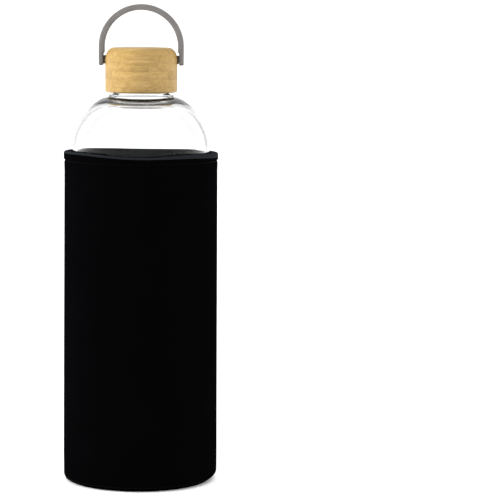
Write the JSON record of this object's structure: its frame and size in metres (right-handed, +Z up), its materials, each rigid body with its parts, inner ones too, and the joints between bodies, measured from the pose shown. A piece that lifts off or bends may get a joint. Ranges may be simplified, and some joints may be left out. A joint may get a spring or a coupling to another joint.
{
  "type": "glass water bottle",
  "caption": "Upright glass water bottle with a domed shoulder, a screw-on bamboo cap with a swinging carry loop, and a slip-on neoprene sleeve.",
  "frame": {"origin": "centre of the sleeve's underside, on the surface that the bottle stands on", "axes": "+Z up along the bottle's axis; the carry loop stands up in the XZ plane; the sleeve's side seam is on the +Y side"},
  "size_m": [0.0922, 0.0922, 0.29],
  "materials": {
    "glass": "clear, polished",
    "bamboo": "laminated bamboo, satin oil",
    "white_plastic": "natural polypropylene",
    "silicone": "translucent silicone",
    "grey_plastic": "soft-touch satin",
    "brown_plastic": "dark brown",
    "steel": "satin",
    "neoprene": "nylon-faced neoprene foam",
    "thread": "polyester thread"
  },
  "bodies": {
    "sleeve": {"sleeve_wall": "neoprene", "sleeve_base": "neoprene", "hem_stitching": "thread", "base_stitching": "thread", "side_seam_stitching": "thread"},
    "bottle": {"glass_bottle": "glass"},
    "seal": {"seal_ring": "silicone"},
    "cap": {"cap_liner": "white_plastic", "bamboo_cap": "bamboo", "pivot_bush_left": "brown_plastic", "pivot_bush_right": "brown_plastic", "pivot_screw_left": "steel", "pivot_screw_right": "steel"},
    "loop": {"carry_loop": "grey_plastic"}
  },
  "joints": [
    {"name": "bottle_lift", "type": "slide", "parent": "sleeve", "child": "bottle", "axis": [0, 0, 1], "range_m": [0, 0.21]},
    {"name": "cap_rise", "type": "slide", "parent": "bottle", "child": "seal", "axis": [0, 0, 1], "range_m": [0, 0.032]},
    {"name": "cap_turn", "type": "hinge", "parent": "seal", "child": "cap", "pos_m": [0, 0, 0.2439], "axis": [0, 0, 1], "range_deg": [0, 1440]},
    {"name": "loop_swing", "type": "hinge", "parent": "cap", "child": "loop", "pos_m": [0, 0, 0.2566], "axis": [1, 0, 0], "range_deg": [-125, 125]}
  ],
  "couplings": [
    {"joint": "cap_rise", "follows": "cap_turn", "m_per_rad": 0.0012732}
  ]
}
